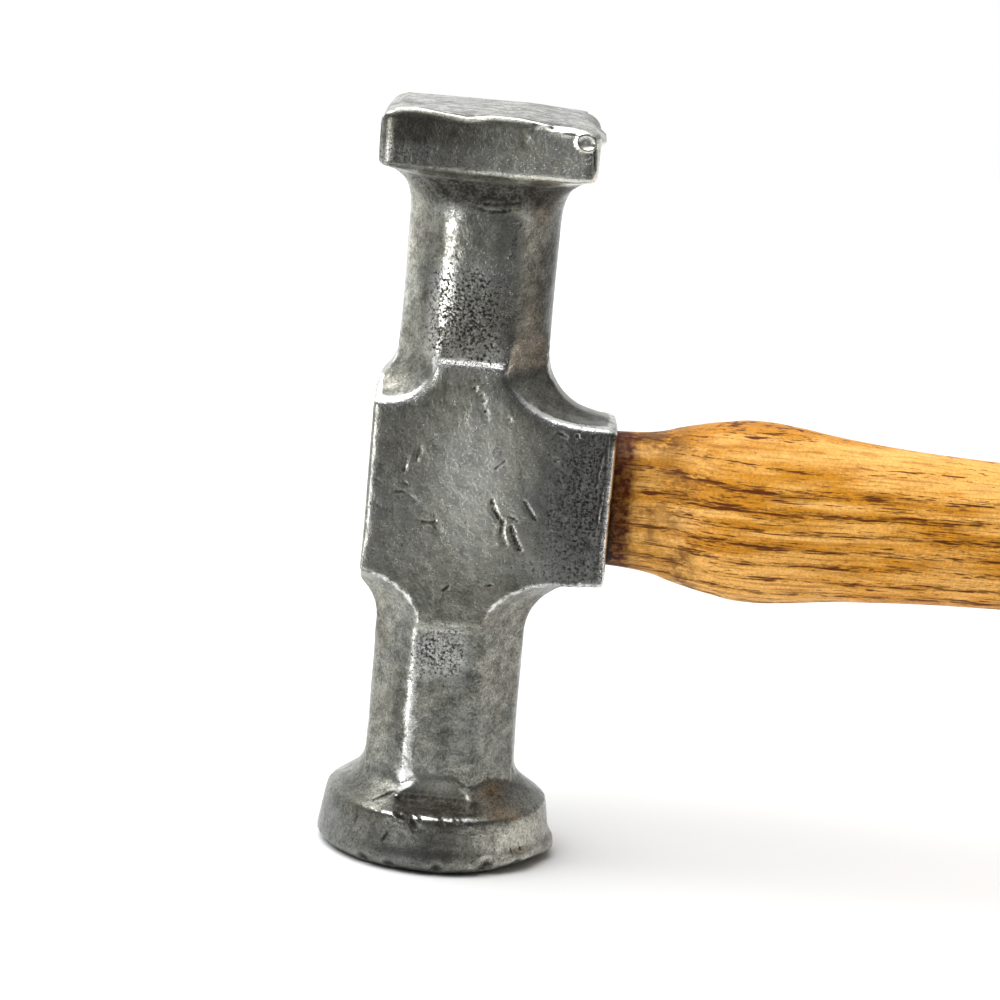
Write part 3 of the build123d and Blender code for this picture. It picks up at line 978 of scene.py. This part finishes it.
shaftShape = {
    "start": 21.6,  # mm along the handle
    "end": 311.0,
    "tenonCut": 21.7,  # where the tenon ends inside the shaft
    "droop": 0.5,  # degrees
    "axisAtStart": 55.0,
    "oval": 2.25,
    "largest": 16.0,
    "heights": ((21.6, 9.95), (24.5, 10.1), (28.0, 10.5), (31.0, 11.35), (34.0, 12.1), (38.0, 12.85),
                (43.5, 13.4), (48.0, 13.1), (54.0, 12.3), (60.0, 11.75), (68.0, 11.2), (82.0, 10.7),
                (105.0, 9.9), (135.0, 9.5), (170.0, 10.5), (210.0, 12.7), (250.0, 14.3), (285.0, 14.8),
                (300.0, 14.3), (306.0, 13.3), (309.5, 11.6), (311.0, 9.4)),
    "thicknesses": ((21.6, 6.7), (26.0, 6.75), (29.5, 6.9), (32.5, 7.6), (36.0, 8.8), (40.0, 9.5),
                    (45.0, 9.75), (58.0, 9.4), (68.0, 9.0), (82.0, 8.6), (105.0, 8.0), (135.0, 7.7),
                    (170.0, 8.4), (210.0, 9.9), (250.0, 11.0), (285.0, 11.3), (300.0, 10.9),
                    (306.0, 10.0), (309.5, 8.4), (311.0, 6.3)),
    "stepsAlong": 520,
    "stepsAround": 112,
    "endRings": 6,
    "handShaping": 0.22,
}


def makeShaftTree(values):
    tree, given = newGeometryTree("handleShaft", values)
    tube = addNode(tree, "GeometryNodeMeshCylinder", fill_type="TRIANGLE_FAN")
    feed(tree, tube.inputs["Vertices"], given["Steps around"])
    feed(tree, tube.inputs["Side Segments"], given["Steps along"])
    tube.inputs["Fill Segments"].default_value = shaftShape["endRings"]
    tube.inputs["Radius"].default_value = 1.0
    tube.inputs["Depth"].default_value = 1.0
    parts = addNode(tree, "ShaderNodeSeparateXYZ")
    feed(tree, parts.inputs[0], addNode(tree, "GeometryNodeInputPosition").outputs[0])
    part = calc(tree, "ADD", parts.outputs["Z"], 0.5)
    x = ramp(tree, part, 0.0, 1.0, given["Start"], given["End"], smooth=False)

    def profile(pairs):
        curve = addNode(tree, "ShaderNodeFloatCurve")
        feed(tree, curve.inputs["Value"], part)
        line = curve.mapping.curves[0]
        reach = shaftShape["end"] - shaftShape["start"]
        places = [((along - shaftShape["start"]) / reach, half / shaftShape["largest"])
                  for along, half in pairs]
        line.points[0].location, line.points[1].location = places[0], places[-1]
        for at in places[1:-1]:
            line.points.new(*at)
        curve.mapping.update()
        return calc(tree, "MULTIPLY", curve.outputs[0], shaftShape["largest"] * mm)

    halfHeight, halfThickness = profile(shaftShape["heights"]), profile(shaftShape["thicknesses"])
    up, across = parts.outputs["X"], parts.outputs["Y"]
    fromAxis = calc(tree, "SQRT", calc(tree, "ADD", calc(tree, "MULTIPLY", up, up),
                                       calc(tree, "MULTIPLY", across, across)))
    safe = calc(tree, "MAXIMUM", fromAxis, 1e-6)
    cosine, sine = calc(tree, "DIVIDE", up, safe), calc(tree, "DIVIDE", across, safe)
    power = given["Oval power"]
    full = calc(tree, "ADD", calc(tree, "POWER", calc(tree, "ABSOLUTE", cosine), power),
                calc(tree, "POWER", calc(tree, "ABSOLUTE", sine), power))
    full = calc(tree, "MAXIMUM", full, 0.1)  # nought at the two poles
    full = calc(tree, "POWER", full, calc(tree, "DIVIDE", -1.0, power))
    full = calc(tree, "MULTIPLY", full, fromAxis)
    y = calc(tree, "MULTIPLY", calc(tree, "MULTIPLY", sine, full), halfThickness)
    z = calc(tree, "MULTIPLY", calc(tree, "MULTIPLY", cosine, full), halfHeight)
    drop = calc(tree, "MULTIPLY", calc(tree, "SUBTRACT", x, given["Start"]), given["Droop"])
    z = calc(tree, "ADD", z, calc(tree, "SUBTRACT", given["Axis height"], drop))
    joined = addNode(tree, "ShaderNodeCombineXYZ")
    for socket, value in zip(joined.inputs, (x, y, z)):
        feed(tree, socket, value)
    shaped = addNode(tree, "GeometryNodeSetPosition")
    feed(tree, shaped.inputs["Geometry"], tube.outputs["Mesh"])
    feed(tree, shaped.inputs["Position"], joined.outputs[0])

    # the unevenness a spokeshave leaves
    place = addNode(tree, "GeometryNodeInputPosition").outputs[0]
    waves = noiseOf(tree, stretch(tree, place, (40, 130, 130)), 1, detail=2)
    waves = calc(tree, "MULTIPLY", calc(tree, "SUBTRACT", waves, 0.5), given["Hand shaping"])
    lifted = addNode(tree, "GeometryNodeSetPosition")
    feed(tree, lifted.inputs["Geometry"], shaped.outputs[0])
    normal = addNode(tree, "GeometryNodeInputNormal").outputs[0]
    feed(tree, lifted.inputs["Offset"], scaled(tree, normal, calc(tree, "MULTIPLY", waves, 2.0)))
    outward = addNode(tree, "GeometryNodeFlipFaces")  # the steps around leave the faces pointing in
    feed(tree, outward.inputs["Mesh"], lifted.outputs[0])
    closeTree(tree, outward.outputs[0], given["Material"])
    return tree


def cutAt(piece, place):
    # takes away what lies past x = place, and closes the cut
    work = bmesh.new()
    work.from_mesh(piece.data)
    every = work.verts[:] + work.edges[:] + work.faces[:]
    bmesh.ops.bisect_plane(work, geom=every, plane_co=(place, 0, 0), plane_no=(1, 0, 0), clear_outer=True)
    rim = [edge for edge in work.edges if edge.is_boundary]
    bmesh.ops.holes_fill(work, edges=rim, sides=0)
    bmesh.ops.recalc_face_normals(work, faces=work.faces)
    work.to_mesh(piece.data)
    work.free()


def joinMeshes(name, pieces):
    work = bmesh.new()
    for piece in pieces:
        work.from_mesh(piece.data)
    mesh = bpy.data.meshes.new(name)
    work.to_mesh(mesh)
    work.free()
    for piece in pieces:
        bpy.data.objects.remove(piece)
    return newPiece(name, mesh)


# Dirty patches on the handle's near side: x and z, reach in both, sharpness along z, amount
handleSoil = (
    ((27.9, 53.0), (0.6, 2.6), 4, 0.6),
    ((25.6, 53.4), (0.6, 2.8), 4, 0.4),
    ((31.5, 59.6), (2.4, 1.6), 2, 0.8),
    ((31.0, 54.0), (1.6, 3.0), 2, 0.5),
)


def soilAndShadeHandle(mesh):
    # dirt in the hollow shoulders, with painted shadow where the lower one turns and painted shade along
    # the underside, and rub marks and blotches beside the head
    x, y, z = (pointsOf(mesh) / mm).T
    # painted shadow, with dirt, where the lower shoulder turns
    shoulder = bell(x - 0.25 * (49 - z), 32.5, 1.6) * span(z, 41.5, 44, 47, 52)
    top = bell(x, 28.5, 3.2) * ease(z, 62.0, 64.5)
    neck = 1 - ease(x, 27, 37)
    # painted shade along the underside
    under = (1 - ease(z, 40, 48)) * ease(x, 34, 40)
    soilAndShade = 1.25 * shoulder + 0.8 * top + 0.34 * neck + 0.22 * under
    for (atX, atZ), (reachX, reachZ), sharpness, amount in handleSoil:
        soilAndShade += amount * bell(x, atX, reachX) * bell(z, atZ, reachZ, sharpness) * ease(-y, 3, 5)
    storeFloat(mesh, "soilAndShade", np.clip(soilAndShade, 0, 1))


def makeHandle():
    shaft = newPiece("shaft", bpy.data.meshes.new("shaft"))
    values = {
        "Start": shaftShape["start"] * mm,
        "End": shaftShape["end"] * mm,
        "Droop": math.tan(math.radians(shaftShape["droop"])),
        "Axis height": shaftShape["axisAtStart"] * mm,
        "Oval power": shaftShape["oval"],
        "Steps along": shaftShape["stepsAlong"],
        "Steps around": shaftShape["stepsAround"],
        "Hand shaping": shaftShape["handShaping"] * mm,
    }
    runTree(shaft, makeShaftTree(values), values, oiledHickory)
    tenon = cadCopy("handle", "tenon")
    cutAt(tenon, shaftShape["tenonCut"] * mm)
    handle = joinMeshes("hickoryHandle", (shaft, tenon))
    mesh = handle.data
    mesh.materials.clear()
    mesh.materials.append(oiledHickory)
    soilAndShadeHandle(mesh)
    shadeSmooth(mesh)
    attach(handle, "root")
    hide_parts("handle")
    print("handle:", len(mesh.polygons), "faces")


makeHandle()


# Wedges
wedgeLook = {
    "paleWood": (0.42, 0.27, 0.13, 1),
    "brownWood": (0.20, 0.11, 0.05, 1),
    "darkSteel": (0.10, 0.085, 0.07, 1),
    "bareSteel": (0.30, 0.29, 0.27, 1),
}


def makeWedgeWood():
    made, tree, shader, coords = newMaterial("dryWedgeWood")
    fibre = noiseOf(tree, stretch(tree, coords, (150, 1500, 1500)), 1, detail=3)
    tone = mixColor(tree, ramp(tree, fibre, 0.35, 0.68), wedgeLook["paleWood"], wedgeLook["brownWood"])
    feed(tree, shader.inputs["Base Color"], tone)
    shader.inputs["Roughness"].default_value = 0.7
    bumpInto(tree, shader, fibre, 0.4, 0.0002)
    return made


def makeWedgeSteel():
    made, tree, shader, coords = newMaterial("darkWedgeSteel")
    spots = noiseOf(tree, coords, 900, detail=4)
    tone = mixColor(tree, ramp(tree, spots, 0.4, 0.62), wedgeLook["darkSteel"], wedgeLook["bareSteel"])
    feed(tree, shader.inputs["Base Color"], tone)
    shader.inputs["Metallic"].default_value = 1.0
    feed(tree, shader.inputs["Roughness"], ramp(tree, spots, 0.4, 0.62, 0.55, 0.36))
    bumpInto(tree, shader, spots, 0.5, 0.0002)
    return made


def makeWedges():
    wood, steel = makeWedgeWood(), makeWedgeSteel()
    finishes = (("wood_wedge", wood), ("steel_wedge_upper", steel), ("steel_wedge_lower", steel))
    for node, material in finishes:
        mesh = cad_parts[node].data
        mesh.materials.clear()
        mesh.materials.append(material)
    print("wedges finished")


makeWedges()

# Floor, light and air
studio = {
    "floor": (0.76, 0.77, 0.77, 1),
    "floorReach": ((-0.7, 1.0), (-0.11, 1.0)),  # in x and y, m
    "back": 1.05,
    "near": 0.09,
    "left": 0.9,
    "overhead": 1.15,
    "sun": 2.9,
    "sunFrom": (-0.45, -0.30, 1.4),
    "sunBreadth": 65,  # degrees
    "window": 6.0,
    "windowPlace": (-0.70, -0.95, -0.18),
    "windowAim": (0, 0, 0.09),
    "windowSize": (0.24, 0.4),
}


def makeStudio():
    (left, right), (front, rear) = studio["floorReach"]
    mesh = bpy.data.meshes.new("floor")
    mesh.from_pydata([(left, front, 0), (right, front, 0), (right, rear, 0), (left, rear, 0)], [],
                     [(0, 1, 2, 3)])
    floor = newPiece("floor", mesh)
    material, _, shader, _ = newMaterial("paleFloor")
    shader.inputs["Base Color"].default_value = studio["floor"]
    shader.inputs["Roughness"].default_value = 0.95
    mesh.materials.append(material)

    # the air is bright behind and above, and darker on the near side
    world = bpy.data.worlds.new("studioAir")
    world.use_nodes = True
    scene.world = world
    tree = world.node_tree
    back = tree.nodes["Background"]
    side = addNode(tree, "ShaderNodeSeparateXYZ")
    feed(tree, side.inputs[0], addNode(tree, "ShaderNodeTexCoord").outputs["Generated"])
    glow = ramp(tree, side.outputs["Y"], -0.45, 0.85, studio["near"], studio["back"])
    high = ramp(tree, side.outputs["Z"], 0.4, 0.9, 0, studio["overhead"])
    glow = calc(tree, "MAXIMUM", glow, high)
    glow = calc(tree, "MULTIPLY", glow, ramp(tree, side.outputs["X"], -0.5, 0.5, 1.5, 0.5))
    glow = calc(tree, "MAXIMUM", glow, ramp(tree, side.outputs["X"], -0.80, -1.0, 0, studio["left"]))
    seen = addNode(tree, "ShaderNodeLightPath").outputs["Is Camera Ray"]
    glow = calc(tree, "ADD", calc(tree, "MULTIPLY", glow, calc(tree, "SUBTRACT", 1, seen)), seen)
    feed(tree, back.inputs["Strength"], glow)
    back.inputs["Color"].default_value = (1, 1, 1, 1)

    def shine(name, kind, place, aim, power, **fields):
        light = bpy.data.lights.new(name, kind)
        light.energy = power
        for field, value in fields.items():
            setattr(light, field, value)
        lamp = bpy.data.objects.new(name, light)
        lamp.location = place
        lamp.rotation_euler = (Vector(aim) - Vector(place)).to_track_quat("-Z", "Y").to_euler()
        scene.collection.objects.link(lamp)

    shine("sun", "SUN", studio["sunFrom"], (0, 0, 0), studio["sun"],
          angle=math.radians(studio["sunBreadth"]))
    width, height = studio["windowSize"]
    shine("window", "AREA", studio["windowPlace"], studio["windowAim"], studio["window"],
          shape="RECTANGLE", size=width, size_y=height)
    scene.view_settings.view_transform = "Standard"
    print("studio lit")


makeStudio()
